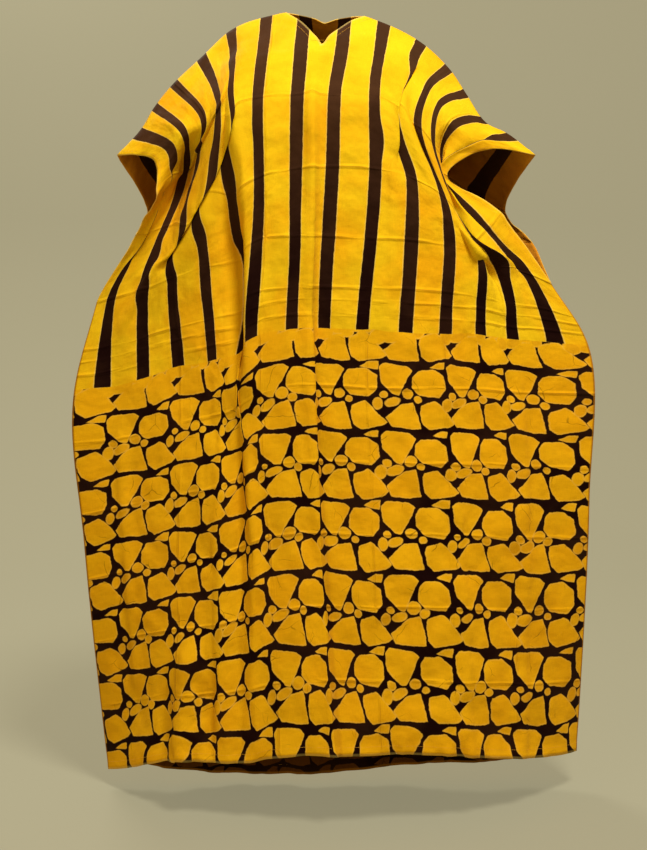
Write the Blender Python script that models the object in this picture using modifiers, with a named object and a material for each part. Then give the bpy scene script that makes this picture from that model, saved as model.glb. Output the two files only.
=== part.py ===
"""Grand boubou robe, worn open over a general figure: a front and a back panel.

Each panel is one width of cloth. Its shape is a loft through short sections, one
for each distance down the cloth from the shoulder seam, with its largest folds
raised or sunk in it. Metres, +Z up, the front faces -Y, and the origin is on the
wearer's shoulders.
"""

import math
from collections import namedtuple

import bmesh
import bpy
import numpy as np

NAME = "grand_boubou"

# the cut
CLOTH_WIDTH = 1.10
CUT_LENGTH = 1.445
ARMHOLE_DROP = 0.47
NECK_HALF_WIDTH = 0.075
FRONT_NECK_DROP = 0.088
BACK_NECK_DROP = 0.03
NECK_CURVE = 1.35
WALL = 0.0015
SEAM_GAP = 0.0003

# the mesh
HALF_COLUMNS = 20
NECK_ROWS = 4
CHEST_ROWS = 8
SKIRT_ROWS = 15
WELD = 0.00001

COLOURS = {"front_panel": (0.90, 0.55, 0.02, 1.0), "back_panel": (0.82, 0.47, 0.02, 1.0)}
ROUGHNESS = 0.78

# Where the sections' columns lie across the cloth: -1 and 1 are its two edges.
FRONT_ACROSS = (-1, -0.92, -0.78, -0.64, -0.49, -0.35, -0.21, -0.07,
                0.07, 0.21, 0.35, 0.49, 0.64, 0.78, 0.92, 1)
BACK_ACROSS = (-1, -0.8, -0.5, 0, 0.5, 0.8, 1)

Section = namedtuple("Section", "down x y z")
FRONT_SECTIONS = {
    "shoulder seam": Section(
        0.0,
        (-0.39, -0.35, -0.32, -0.285, -0.23, -0.175, -0.11, -0.038,
         0.038, 0.112, 0.18, 0.232, 0.265, 0.30, 0.35, 0.395),
        (-0.03, -0.035, -0.025, -0.015, 0, 0.01, 0.02, 0.03,
         0.03, 0.02, 0.01, 0, -0.015, -0.025, -0.035, -0.03),
        (-0.26, -0.22, -0.172, -0.128, -0.075, -0.025, 0, 0.012,
         0.01, -0.012, -0.048, -0.096, -0.146, -0.198, -0.226, -0.26),
    ),
    "yoke": Section(
        0.10,
        (-0.32, -0.285, -0.26, -0.225, -0.20, -0.17, -0.115, -0.043,
         0.029, 0.10, 0.153, 0.19, 0.213, 0.24, 0.28, 0.30),
        (-0.08, -0.098, -0.108, -0.108, -0.098, -0.085, -0.075, -0.07,
         -0.07, -0.075, -0.08, -0.085, -0.09, -0.09, -0.08, -0.07),
        (-0.27, -0.248, -0.22, -0.19, -0.142, -0.096, -0.076, -0.066,
         -0.066, -0.078, -0.103, -0.137, -0.17, -0.207, -0.24, -0.252),
    ),
    "chest": Section(
        0.20,
        (-0.305, -0.284, -0.262, -0.232, -0.192, -0.172, -0.12, -0.048,
         0.016, 0.088, 0.136, 0.17, 0.196, 0.212, 0.21, 0.222),
        (-0.105, -0.08, -0.045, -0.085, -0.128, -0.132, -0.13, -0.128,
         -0.128, -0.13, -0.131, -0.132, -0.114, -0.08, -0.098, -0.10),
        (-0.326, -0.295, -0.274, -0.253, -0.20, -0.168, -0.154, -0.15,
         -0.15, -0.154, -0.17, -0.205, -0.238, -0.264, -0.286, -0.297),
    ),
    "elbows": Section(
        0.33,
        (-0.352, -0.335, -0.303, -0.268, -0.225, -0.171, -0.12, -0.052,
         0.013, 0.09, 0.155, 0.214, 0.243, 0.264, 0.298, 0.322),
        (-0.055, -0.042, -0.036, -0.078, -0.115, -0.125, -0.14, -0.145,
         -0.145, -0.145, -0.137, -0.125, -0.105, -0.098, -0.078, -0.052),
        (-0.402, -0.399, -0.385, -0.372, -0.35, -0.328, -0.296, -0.28,
         -0.28, -0.283, -0.30, -0.331, -0.37, -0.408, -0.388, -0.358),
    ),
    "hands": Section(
        0.47,
        (-0.44, -0.41, -0.343, -0.286, -0.222, -0.16, -0.123, -0.054,
         0.005, 0.083, 0.156, 0.228, 0.289, 0.332, 0.382, 0.432),
        (0, -0.015, -0.04, -0.07, -0.10, -0.11, -0.14, -0.152,
         -0.148, -0.15, -0.142, -0.13, -0.105, -0.075, -0.045, -0.02),
        (-0.536, -0.527, -0.507, -0.49, -0.468, -0.452, -0.415, -0.408,
         -0.408, -0.412, -0.416, -0.424, -0.443, -0.468, -0.478, -0.50),
    ),
    "top of the border": Section(
        0.64,
        (-0.488, -0.432, -0.346, -0.276, -0.207, -0.165, -0.137, -0.061,
         -0.003, 0.067, 0.146, 0.222, 0.294, 0.358, 0.443, 0.51),
        (0, -0.015, -0.04, -0.07, -0.10, -0.115, -0.145, -0.157,
         -0.15, -0.155, -0.147, -0.135, -0.11, -0.08, -0.03, 0),
        (-0.707, -0.70, -0.679, -0.655, -0.639, -0.628, -0.594, -0.577,
         -0.577, -0.58, -0.584, -0.588, -0.593, -0.603, -0.612, -0.619),
    ),
    "knees": Section(
        0.95,
        (-0.477, -0.428, -0.356, -0.285, -0.215, -0.162, -0.125, -0.052,
         0.004, 0.075, 0.152, 0.235, 0.315, 0.392, 0.47, 0.522),
        (0.01, -0.015, -0.055, -0.085, -0.11, -0.125, -0.145, -0.162,
         -0.155, -0.158, -0.15, -0.138, -0.115, -0.075, -0.02, 0.01),
        (-1.02, -1.005, -0.985, -0.965, -0.945, -0.925, -0.90, -0.887,
         -0.888, -0.89, -0.893, -0.898, -0.905, -0.915, -0.925, -0.93),
    ),
    "hem": Section(
        1.445,
        (-0.448, -0.408, -0.345, -0.282, -0.22, -0.162, -0.108, -0.034,
         0.023, 0.089, 0.165, 0.248, 0.325, 0.402, 0.478, 0.52),
        (0.05, 0.01, -0.045, -0.085, -0.115, -0.13, -0.15, -0.167,
         -0.16, -0.16, -0.152, -0.14, -0.11, -0.06, 0, 0.05),
        (-1.50, -1.484, -1.455, -1.43, -1.422, -1.415, -1.40, -1.387,
         -1.388, -1.391, -1.396, -1.405, -1.42, -1.438, -1.453, -1.46),
    ),
}
BACK_SECTIONS = {
    "yoke": Section(
        0.10,
        (-0.375, -0.30, -0.20, 0, 0.20, 0.29, 0.372),
        (0.025, 0.075, 0.09, 0.09, 0.09, 0.075, 0.02),
        (-0.305, -0.215, -0.125, -0.055, -0.13, -0.215, -0.305),
    ),
    "shoulder blades": Section(
        0.20,
        (-0.345, -0.255, -0.185, 0, 0.185, 0.24, 0.345),
        (0.05, 0.12, 0.135, 0.13, 0.135, 0.12, 0.04),
        (-0.36, -0.285, -0.215, -0.155, -0.215, -0.285, -0.36),
    ),
    "elbows": Section(
        0.33,
        (-0.375, -0.29, -0.20, 0, 0.20, 0.295, 0.40),
        (0.05, 0.125, 0.148, 0.15, 0.148, 0.115, 0.03),
        (-0.43, -0.41, -0.36, -0.295, -0.36, -0.405, -0.416),
    ),
    "hands": Section(
        0.47,
        (-0.44, -0.345, -0.215, 0, 0.215, 0.33, 0.432),
        (0, 0.09, 0.145, 0.158, 0.145, 0.09, -0.02),
        (-0.536, -0.54, -0.50, -0.445, -0.50, -0.53, -0.50),
    ),
    "top of the border": Section(
        0.64,
        (-0.488, -0.375, -0.225, 0, 0.235, 0.395, 0.51),
        (0, 0.08, 0.14, 0.158, 0.14, 0.08, 0),
        (-0.707, -0.71, -0.675, -0.63, -0.665, -0.67, -0.619),
    ),
    "knees": Section(
        0.95,
        (-0.477, -0.38, -0.235, 0, 0.25, 0.415, 0.522),
        (0.01, 0.075, 0.12, 0.14, 0.12, 0.08, 0.01),
        (-1.02, -1.03, -1.00, -0.965, -0.995, -0.99, -0.93),
    ),
    "hem": Section(
        1.445,
        (-0.448, -0.375, -0.24, 0, 0.255, 0.415, 0.52),
        (0.05, 0.055, 0.05, 0.06, 0.06, 0.065, 0.05),
        (-1.50, -1.493, -1.512, -1.516, -1.492, -1.485, -1.46),
    ),
}

# A fold runs down the cloth from `start` to `end`. Its middle goes across the cloth
# from `top` to `foot`, and `rise` is how high it stands out, or how deep if below 0.
Fold = namedtuple("Fold", "top foot start end half_width rise")
FRONT_FOLDS = {
    "tuck from the left armpit": Fold(-0.44, -0.30, 0.14, 0.72, 0.085, -0.026),
    "crest beside the left tuck": Fold(-0.30, -0.22, 0.20, 0.80, 0.07, 0.012),
    "left sleeve hollow": Fold(-0.80, -0.66, 0.10, 0.44, 0.12, -0.010),
    "first gather": Fold(-0.44, -0.42, 0.74, 1.60, 0.05, 0.010),
    "second gather": Fold(-0.34, -0.35, 0.70, 1.60, 0.05, -0.014),
    "third gather": Fold(-0.26, -0.28, 0.78, 1.60, 0.05, 0.010),
    "centre crease": Fold(0.03, 0.03, 0.12, 1.60, 0.05, -0.010),
    "fold from the right shoulder": Fold(0.40, 0.50, 0.06, 0.36, 0.075, -0.016),
    "right sleeve hollow": Fold(0.86, 0.70, 0.12, 0.40, 0.11, -0.010),
    "crest under the right arm": Fold(0.80, 0.84, 0.26, 0.54, 0.08, 0.016),
    "valley under the right arm": Fold(0.66, 0.74, 0.26, 0.60, 0.08, -0.030),
}
BACK_FOLDS = {
    "left outer flute": Fold(-0.66, -0.70, 0.30, 1.60, 0.12, -0.020),
    "left inner flute": Fold(-0.34, -0.40, 0.16, 1.60, 0.12, 0.022),
    "middle flute": Fold(-0.04, -0.08, 0.26, 1.60, 0.13, -0.020),
    "right inner flute": Fold(0.30, 0.26, 0.18, 1.60, 0.12, 0.022),
    "right outer flute": Fold(0.64, 0.60, 0.28, 1.60, 0.12, -0.020),
}
FOLD_FADE = 0.16
SEAM_REACH = 0.7
SMALL_STEP = 0.004


def clear_scene():
    for item in list(bpy.data.objects):
        bpy.data.objects.remove(item, do_unlink=True)


def smooth(knots, values, at):
    """Values at the places `at`, on a smooth curve through `values` at `knots`."""
    slope = np.gradient(values, knots, axis=0)
    low = np.clip(np.searchsorted(knots, at, side="right") - 1, 0, len(knots) - 2)
    step = (knots[low + 1] - knots[low])[:, None]
    part = (at - knots[low])[:, None] / step
    level = part * part * (3 - 2 * part)
    leave = part * (1 - part) ** 2 * step
    arrive = part * part * (1 - part) * step
    return (
        values[low] * (1 - level)
        + values[low + 1] * level
        + leave * slope[low]
        - arrive * slope[low + 1]
    )


def base_points(across_knots, sections, across, down):
    """The panel without its folds, at matching arrays of places across and down."""
    downs = np.array([section[0] for section in sections], float)
    knots = np.array(across_knots, float)
    on_sections = np.array(
        [smooth(knots, np.array(section[1:], float).T, across) for section in sections]
    )
    return np.array(
        [smooth(downs, on_sections[:, i], down[i : i + 1])[0] for i in range(len(across))]
    )


def fold_height(folds, across, down):
    height = np.zeros(len(across))
    for fold in folds.values():
        along = np.clip((down - fold.start) / (fold.end - fold.start), 0, 1)
        middle = fold.top + (fold.foot - fold.top) * along
        aside = np.clip(np.abs(across - middle) / fold.half_width, 0, 1)
        fade = np.clip(np.minimum(down - fold.start, fold.end - down) / FOLD_FADE, 0, 1)
        height += fold.rise * np.cos(aside * math.pi / 2) ** 2 * fade * fade * (3 - 2 * fade)
    return height


def side_seam(hand, down):
    """Points of the side seam, which runs from the armhole to the hem."""
    seam = [section for section in FRONT_SECTIONS.values() if section[0] >= ARMHOLE_DROP]
    column = 0 if hand < 0 else -1
    downs = np.array([section[0] for section in seam], float)
    points = np.array([[values[column] for values in section[1:]] for section in seam], float)
    return smooth(downs, points, down)


def to_side_seam(points, across_knots, sections, across, down):
    """Moves the cloth beside a side seam so that its edge lies on the seam."""
    for hand in (-1, 1):
        share = np.clip((hand * across - SEAM_REACH) / (1 - SEAM_REACH), 0, 1)
        near = (share > 0) & (down > ARMHOLE_DROP)
        if near.any():
            edge = base_points(across_knots, sections, np.full(near.sum(), float(hand)), down[near])
            off = side_seam(hand, down[near]) - edge
            points[near] += off * (share[near] ** 2)[:, None]


def panel_points(side, across, down):
    """Points of the panel's inner face, with its folds pushed along its normal."""
    across_knots, sections, folds = side["across"], side["sections"], side["folds"]
    points = base_points(across_knots, sections, across, down)
    nudge = np.where(across > 0, -SMALL_STEP, SMALL_STEP)
    drop = np.where(down > CUT_LENGTH / 2, -SMALL_STEP, SMALL_STEP)
    beside = base_points(across_knots, sections, across + nudge, down) - points
    below = base_points(across_knots, sections, across, down + drop) - points
    normal = np.cross(beside * np.sign(nudge)[:, None], below * np.sign(drop)[:, None])
    normal /= np.linalg.norm(normal, axis=1)[:, None]
    out = normal * side["out"]
    points += out * fold_height(folds, across, down)[:, None]
    to_side_seam(points, across_knots, sections, across, down)
    points[:, 1] += side["seam_shift"]
    return points


def neck_edge(drop, down):
    """How far across the cloth the neckline lies, as a share of its half width."""
    left_over = max(0.0, 1 - down / drop)
    return NECK_HALF_WIDTH / (CLOTH_WIDTH / 2) * left_over**NECK_CURVE


def add_half(bm, side, hand):
    """One half of a panel: a grid bent to the panel's form, hand -1 or 1."""
    drop = side["neck_drop"]
    rows = [drop * i / NECK_ROWS for i in range(NECK_ROWS)]
    rows += [drop + (ARMHOLE_DROP - drop) * i / CHEST_ROWS for i in range(CHEST_ROWS)]
    skirt = CUT_LENGTH - ARMHOLE_DROP
    rows += [ARMHOLE_DROP + skirt * i / SKIRT_ROWS for i in range(SKIRT_ROWS + 1)]
    made = bmesh.ops.create_grid(
        bm, x_segments=HALF_COLUMNS, y_segments=len(rows) - 1, size=0.5
    )["verts"]
    column = np.array([vert.co.x + 0.5 for vert in made])
    row = np.array([round((vert.co.y + 0.5) * (len(rows) - 1)) for vert in made])
    down = np.array(rows)[row]
    inner = np.array([neck_edge(drop, one) for one in down])
    across = hand * (inner + (1 - inner) * column)
    for vert, point in zip(made, panel_points(side, across, down)):
        vert.co = point


def panel_mesh(name, side):
    bm = bmesh.new()
    for hand in (-1, 1):
        add_half(bm, side, hand)
    bmesh.ops.remove_doubles(bm, verts=bm.verts, dist=WELD)
    bmesh.ops.recalc_face_normals(bm, faces=bm.faces)
    outwards = sum(face.normal.y * face.calc_area() for face in bm.faces) * side["out"]
    if outwards < 0:
        bmesh.ops.reverse_faces(bm, faces=bm.faces)
    mesh = bpy.data.meshes.new(name)
    bm.to_mesh(mesh)
    bm.free()
    return mesh


def cloth_material(name, colour):
    material = bpy.data.materials.new(name)
    material.use_nodes = True
    shader = material.node_tree.nodes["Principled BSDF"]
    shader.inputs["Base Color"].default_value = colour
    shader.inputs["Roughness"].default_value = ROUGHNESS
    shader.inputs["Metallic"].default_value = 0.0
    return material


def add_panel(name, side, collection):
    panel = bpy.data.objects.new(name, panel_mesh(name, side))
    panel.data.materials.append(cloth_material(name + "_cloth", COLOURS[name]))
    collection.objects.link(panel)
    wall = panel.modifiers.new("wall", "SOLIDIFY")
    wall.thickness = WALL
    wall.offset = 1.0
    wall.use_even_offset = True
    wall.use_quality_normals = True
    return panel


def shared_seam():
    """The shoulder seam's columns again, at the back panel's places across."""
    down, *columns = FRONT_SECTIONS["shoulder seam"]
    knots = np.array(FRONT_ACROSS, float)
    return knots, (down, np.array(columns, float).T)


def back_sections():
    """Both panels meet on one shoulder seam, so the back takes all of its columns."""
    knots, (down, seam) = shared_seam()
    fine = [(down, *seam.T)]
    for section in BACK_SECTIONS.values():
        rows = smooth(np.array(BACK_ACROSS, float), np.array(section[1:], float).T, knots)
        fine.append((section[0], *rows.T))
    return fine


def main():
    clear_scene()
    collection = bpy.data.collections.new(NAME)
    bpy.context.scene.collection.children.link(collection)
    front = {
        "across": FRONT_ACROSS,
        "sections": list(FRONT_SECTIONS.values()),
        "folds": FRONT_FOLDS,
        "neck_drop": FRONT_NECK_DROP,
        "seam_shift": -SEAM_GAP / 2,
        "out": -1.0,
    }
    back = {
        "across": FRONT_ACROSS,
        "sections": back_sections(),
        "folds": BACK_FOLDS,
        "neck_drop": BACK_NECK_DROP,
        "seam_shift": SEAM_GAP / 2,
        "out": 1.0,
    }
    add_panel("front_panel", front, collection)
    add_panel("back_panel", back, collection)


if __name__ == "__main__":
    main()
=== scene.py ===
"""Grand boubou robe: printed cotton cloth, its turned edges and stitches, and a plain stage.

Each panel is cut flat and laid on the robe's worn form, with its folds and laps. Both are
sewn into one tube, which the cloth simulation settles. Creases are then raised on them,
and each gets a thin wall. The print is drawn by the material, on the measures of the flat
cut, which the UV map "cut" holds in metres. Where nothing else is said, sizes are in
metres, +Z is up, and the robe's front faces -Y.
"""

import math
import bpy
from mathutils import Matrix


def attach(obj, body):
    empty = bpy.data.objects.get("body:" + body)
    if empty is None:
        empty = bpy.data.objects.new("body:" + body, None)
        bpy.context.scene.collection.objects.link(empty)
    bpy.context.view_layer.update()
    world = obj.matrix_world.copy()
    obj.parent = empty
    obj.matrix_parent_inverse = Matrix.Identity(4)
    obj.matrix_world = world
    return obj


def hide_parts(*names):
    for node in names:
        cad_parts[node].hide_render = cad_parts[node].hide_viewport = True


bl_info = {
    "name": "Grand Boubou Robe",
    "version": (1, 0, 0),
    "blender": (4, 5, 0),
    "location": "View3D > Sidebar > Boubou",
    "description": "Makes a worn grand boubou robe in printed cotton, with a plain stage",
    "category": "Add Mesh",
}

from collections import namedtuple
from functools import reduce

import bpy
import numpy as np
from bpy.props import FloatProperty, FloatVectorProperty, IntProperty, PointerProperty
from mathutils import Vector

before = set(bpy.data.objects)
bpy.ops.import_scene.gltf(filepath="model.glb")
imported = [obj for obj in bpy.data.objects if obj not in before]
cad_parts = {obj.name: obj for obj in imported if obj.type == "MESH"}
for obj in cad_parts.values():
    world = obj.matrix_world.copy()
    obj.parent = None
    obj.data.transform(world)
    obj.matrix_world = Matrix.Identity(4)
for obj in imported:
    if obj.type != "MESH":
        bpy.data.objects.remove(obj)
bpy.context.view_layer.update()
BODY = "root"

# The cut of the cloth.
CLOTH_WIDTH = 1.10
CUT_LENGTH = 1.445
BACK_DIP = 0.12
BORDER_TOP = 0.64
ARMHOLE_DROP = 0.47
NECK_HALF_WIDTH = 0.075
FRONT_NECK_DROP = 0.088
BACK_NECK_DROP = 0.03
NECK_CURVE = 1.35
HALF_CUT = CLOTH_WIDTH / 2

# The mesh that the simulation moves, which is divided once more afterwards.
PLACE_DIGITS = 7
LAPS_START = 0.24
MIDDLE_COLUMNS = 8
SIDE_COLUMNS = 46
NECK_ROWS = 8
CHEST_ROWS = 36
LAPS_END = 0.70
LAP_ROWS = 20
SKIRT_ROWS = 44
SEAM_REACH = 0.7
SEAM_GAP = 0.0003
SMALL_STEP = 0.004
FOLD_FADE = 0.16

Section = namedtuple("Section", "down x y z")
Fold = namedtuple("Fold", "top foot start end half_width rise")
Panel = namedtuple("Panel", "node sections folds laps neck_drop out dip")

# Where the sections' columns lie across the cloth: -1 and 1 are its two edges.
FRONT_ACROSS = (-1, -0.92, -0.78, -0.64, -0.49, -0.35, -0.21, -0.07,
                0.07, 0.21, 0.35, 0.49, 0.64, 0.78, 0.92, 1)
BACK_ACROSS = (-1, -0.8, -0.5, 0, 0.5, 0.8, 1)


def section(down, *rows):
    """A section from measures in millimetres."""
    return Section(down / 1000, *(np.array(row) / 1000 for row in rows))


# Each section is a line across the worn cloth: how far down the cloth it lies, and the
# x, y and z of its columns.
FRONT_SECTIONS = {
    "shoulder seam": section(
        0,
        (-390, -350, -320, -285, -230, -175, -110, -38, 38, 112, 180, 232, 265, 300, 350, 395),
        (-30, -35, -25, -15, 0, 10, 20, 30, 30, 20, 10, 0, -15, -25, -35, -30),
        (-260, -220, -172, -128, -75, -25, 0, 12, 10, -12, -48, -96, -146, -198, -226, -260),
    ),
    "yoke": section(
        100,
        (-320, -285, -260, -225, -200, -170, -115, -43, 29, 100, 153, 190, 213, 240, 280, 300),
        (-80, -98, -108, -108, -98, -85, -75, -70, -70, -75, -80, -85, -90, -90, -80, -70),
        (-270, -248, -220, -190, -142, -96, -76, -66, -66, -78, -103, -137, -170, -207, -240, -252),
    ),
    "chest": section(
        200,
        (-305, -284, -262, -232, -192, -172, -120, -48, 16, 88, 136, 170, 196, 212, 210, 222),
        (-105, -80, -45, -85, -128, -132, -130, -128, -128, -130, -131, -132, -114, -80, -98, -100),
        (-326, -295, -274, -253, -200, -168, -154, -150, -150, -154, -170, -205, -238, -264, -286, -297),
    ),
    "elbows": section(
        330,
        (-352, -335, -303, -268, -225, -171, -120, -52, 13, 90, 155, 214, 243, 264, 298, 322),
        (-55, -42, -36, -78, -115, -125, -140, -145, -145, -145, -137, -125, -105, -98, -78, -52),
        (-402, -399, -385, -372, -350, -328, -296, -280, -280, -283, -300, -331, -370, -408, -388, -358),
    ),
    "hands": section(
        470,
        (-440, -410, -343, -286, -222, -160, -123, -54, 5, 83, 156, 228, 289, 332, 382, 432),
        (0, -15, -40, -70, -100, -110, -140, -152, -148, -150, -142, -130, -105, -75, -45, -20),
        (-536, -527, -507, -490, -468, -452, -415, -408, -408, -412, -416, -424, -443, -468, -478, -500),
    ),
    "top of the border": section(
        640,
        (-488, -432, -346, -276, -207, -165, -137, -61, -3, 67, 146, 222, 294, 358, 443, 510),
        (0, -15, -40, -70, -100, -115, -145, -157, -150, -155, -147, -135, -110, -80, -30, 0),
        (-707, -700, -679, -655, -639, -628, -594, -577, -577, -580, -584, -588, -593, -603, -612, -619),
    ),
    "knees": section(
        950,
        (-477, -428, -356, -285, -215, -162, -125, -52, 4, 75, 152, 235, 315, 392, 470, 522),
        (10, -15, -55, -85, -110, -125, -145, -162, -155, -158, -150, -138, -115, -75, -20, 10),
        (-1020, -1005, -985, -965, -945, -925, -900, -887, -888, -890, -893, -898, -905, -915, -925, -930),
    ),
    "hem": section(
        1445,
        (-448, -408, -345, -282, -220, -162, -108, -34, 23, 89, 165, 248, 325, 402, 478, 520),
        (50, 10, -45, -85, -115, -130, -150, -167, -160, -160, -152, -140, -110, -60, 0, 50),
        (-1500, -1484, -1455, -1430, -1422, -1415, -1400, -1387, -1388, -1391, -1396, -1405, -1420,
         -1438, -1453, -1460),
    ),
}
BACK_SECTIONS = {
    "yoke": section(
        100,
        (-375, -300, -200, 0, 200, 290, 372),
        (25, 75, 90, 90, 90, 75, 20),
        (-305, -215, -125, -55, -130, -215, -305),
    ),
    "shoulder blades": section(
        200,
        (-345, -255, -185, 0, 185, 240, 345),
        (50, 120, 135, 130, 135, 120, 40),
        (-360, -285, -215, -155, -215, -285, -360),
    ),
    "elbows": section(
        330,
        (-375, -290, -200, 0, 200, 295, 400),
        (50, 125, 148, 150, 148, 115, 30),
        (-430, -410, -360, -295, -360, -405, -416),
    ),
    "hands": section(
        470,
        (-440, -345, -215, 0, 215, 330, 432),
        (0, 90, 145, 158, 145, 90, -20),
        (-536, -540, -500, -445, -500, -530, -500),
    ),
    "top of the border": section(
        640,
        (-488, -375, -225, 0, 235, 395, 510),
        (0, 80, 140, 158, 140, 80, 0),
        (-707, -710, -675, -630, -665, -670, -619),
    ),
    "knees": section(
        950,
        (-477, -380, -235, 0, 250, 415, 522),
        (10, 75, 120, 140, 120, 80, 10),
        (-1020, -1030, -1000, -965, -995, -990, -930),
    ),
    "hem": section(
        1445,
        (-448, -375, -240, 0, 255, 415, 520),
        (50, 55, 50, 60, 60, 65, 50),
        (-1500, -1493, -1512, -1516, -1492, -1485, -1460),
    ),
}

# A fold runs down the cloth from `start` to `end`. Its middle goes across the cloth
# from `top` to `foot`, and `rise` is how high it stands out, or how deep if below 0.
FRONT_FOLDS = {
    "tuck from the left armpit": Fold(-0.44, -0.30, 0.14, 0.72, 0.085, -0.026),
    "crest beside the left tuck": Fold(-0.30, -0.22, 0.20, 0.80, 0.07, 0.012),
    "left sleeve hollow": Fold(-0.80, -0.66, 0.10, 0.44, 0.12, -0.010),
    "first gather": Fold(-0.44, -0.42, 0.74, 1.60, 0.05, 0.010),
    "second gather": Fold(-0.34, -0.35, 0.70, 1.60, 0.05, -0.014),
    "third gather": Fold(-0.26, -0.28, 0.78, 1.60, 0.05, 0.010),
    "centre crease": Fold(0.03, 0.03, 0.12, 1.60, 0.05, -0.010),
    "fold from the right shoulder": Fold(0.40, 0.50, 0.06, 0.36, 0.075, -0.016),
    "right sleeve hollow": Fold(0.86, 0.70, 0.12, 0.40, 0.11, -0.010),
    "crest under the right arm": Fold(0.80, 0.84, 0.26, 0.54, 0.08, 0.016),
    "valley under the right arm": Fold(0.66, 0.74, 0.26, 0.60, 0.08, -0.030),
}
BACK_FOLDS = {
    "left outer flute": Fold(-0.66, -0.70, 0.30, 1.60, 0.12, -0.020),
    "left inner flute": Fold(-0.34, -0.40, 0.16, 1.60, 0.12, 0.022),
    "middle flute": Fold(-0.04, -0.08, 0.26, 1.60, 0.13, -0.020),
    "right inner flute": Fold(0.30, 0.26, 0.18, 1.60, 0.12, 0.022),
    "right outer flute": Fold(0.64, 0.60, 0.28, 1.60, 0.12, -0.020),
}

# A crease is finer than a fold. Its two flanks have widths of their own, across the
# cloth, so that the crest can fall off steeply on one side.
Crease = namedtuple("Crease", "top foot start end left right rise")
FRONT_CREASES = {
    "centre fold": Crease(-0.010, 0.050, 0.12, 1.60, 0.055, 0.014, 0.011),
    "left of the centre": Crease(-0.150, -0.190, 0.16, 0.60, 0.050, 0.020, 0.003),
    "right of the centre": Crease(0.260, 0.300, 0.22, 0.62, 0.020, 0.050, 0.003),
    "left fold to the hand": Crease(-0.66, -0.90, 0.36, 0.58, 0.05, 0.03, 0.009),
    "left corner of the hem": Crease(-0.58, -0.62, 1.14, 1.60, 0.11, 0.10, 0.022),
    "first side fold": Crease(0.50, 0.56, 0.62, 1.60, 0.06, 0.03, 0.004),
    "second side fold": Crease(0.78, 0.76, 0.66, 1.60, 0.05, 0.03, 0.005),
    "third side fold": Crease(-0.86, -0.84, 0.66, 1.30, 0.03, 0.05, 0.005),
}
BACK_CREASES = {
    "back centre fold": Crease(0.000, 0.000, 0.06, 1.70, 0.030, 0.016, 0.003),
    "below the left shoulder blade": Crease(-0.20, -0.26, 0.20, 0.90, 0.05, 0.02, 0.004),
    "below the right shoulder blade": Crease(0.22, 0.18, 0.16, 0.80, 0.02, 0.05, 0.004),
    "left skirt": Crease(-0.52, -0.56, 0.70, 1.70, 0.06, 0.03, 0.006),
    "right skirt": Crease(0.66, 0.62, 0.66, 1.70, 0.03, 0.06, 0.006),
}
CREASE_FADE = 0.10

# A lap hides cloth under itself. Its line goes from across `top` at `start` down to
# across `foot` at `end`, `half_width` is in metres to each side of it, `tuck` is how
# much it takes up, and `depth` is how far its left side stands over its right side.
Lap = namedtuple("Lap", "top foot start end half_width tuck depth")
FRONT_LAPS = {
    "left sleeve": Lap(-0.36, -0.86, 0.14, 0.235, 0.050, 0.45, 0.006),
    "left armpit": Lap(-0.28, -0.74, 0.205, 0.445, 0.060, 0.55, 0.007),
    "left cuff": Lap(-0.917, -0.917, 0.16, 0.42, 0.050, 0.50, 0.005),
    "right cuff": Lap(0.917, 0.917, 0.28, 0.04, 0.050, 0.50, 0.005),
    "beside the right flap": Lap(0.855, 0.945, 0.20, 0.46, 0.030, 0.30, 0.005),
    "left of the centre": Lap(-0.33, -0.30, 0.42, 0.82, 0.045, 0.45, 0.004),
    "right shoulder": Lap(0.40, 0.29, 0.05, 0.33, 0.045, 0.50, 0.005),
    "under the right sleeve": Lap(0.745, 0.88, 0.22, 0.50, 0.045, 0.50, 0.006),
}
BACK_LAPS = {
    "left shoulder blade": Lap(-0.30, -0.62, 0.07, 0.36, 0.050, 0.50, 0.006),
    "left elbow": Lap(-0.52, -0.90, 0.24, 0.44, 0.050, 0.50, 0.006),
    "right shoulder blade": Lap(0.58, 0.34, 0.08, 0.46, 0.050, 0.50, 0.006),
    "right elbow": Lap(0.84, 0.60, 0.16, 0.48, 0.050, 0.50, 0.006),
    "left hip": Lap(-0.34, -0.27, 0.50, 0.95, 0.045, 0.45, 0.005),
    "right hip": Lap(0.44, 0.50, 0.46, 0.92, 0.045, 0.45, 0.005),
}
LAP_EDGE = 0.04
LAP_FADE = 0.06


def smooth(knots, values, at):
    """Values at the places `at`, on a smooth curve through `values` at `knots`.

    `values` holds one row for each knot. A row is shared by all the places, or is a
    row of its own for each of them.
    """
    slope = np.gradient(values, knots, axis=0)
    low = np.clip(np.searchsorted(knots, at, side="right") - 1, 0, len(knots) - 2)
    own = values.ndim == 3
    near = (low, np.arange(len(at))) if own else (low,)
    far = (low + 1, np.arange(len(at))) if own else (low + 1,)
    step = (knots[low + 1] - knots[low])[:, None]
    part = (at - knots[low])[:, None] / step
    level = part * part * (3 - 2 * part)
    leave = part * (1 - part) ** 2 * step
    arrive = part * part * (1 - part) * step
    return (
        values[near] * (1 - level)
        + values[far] * level
        + leave * slope[near]
        - arrive * slope[far]
    )


def base_points(sections, across, down):
    """The panel without its folds, at matching arrays of places across and down."""
    knots = np.array(FRONT_ACROSS, float)
    downs = np.array([one.down for one in sections])
    on_sections = np.array([smooth(knots, np.array(one[1:]).T, across) for one in sections])
    return smooth(downs, on_sections, down)


def fade_in(distance, reach):
    share = np.clip(distance / reach, 0, 1)
    return share * share * (3 - 2 * share)


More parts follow.
